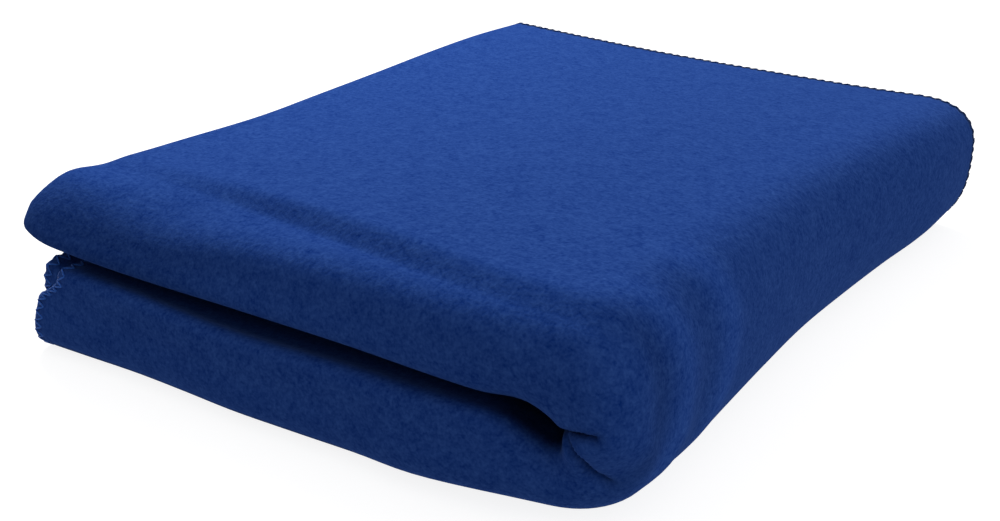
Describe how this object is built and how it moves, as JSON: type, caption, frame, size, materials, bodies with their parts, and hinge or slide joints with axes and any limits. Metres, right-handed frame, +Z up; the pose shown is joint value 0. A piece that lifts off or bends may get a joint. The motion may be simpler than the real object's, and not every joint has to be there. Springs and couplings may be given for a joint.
{
  "type": "folded fleece blanket",
  "caption": "Plain fleece blanket folded into a flat rectangular packet, its smooth folds at the front and right.",
  "frame": {"origin": "centre of the bounding box on the ground under the packet", "axes": "+X along the front fold from the open left end to the wrapped right end, +Y from the front fold to the back, +Z up"},
  "size_m": [0.3148, 0.4082, 0.0873],
  "materials": {
    "fleece": "short brushed pile"
  },
  "bodies": {
    "root": {"blanket": "fleece"}
  },
  "joints": []
}
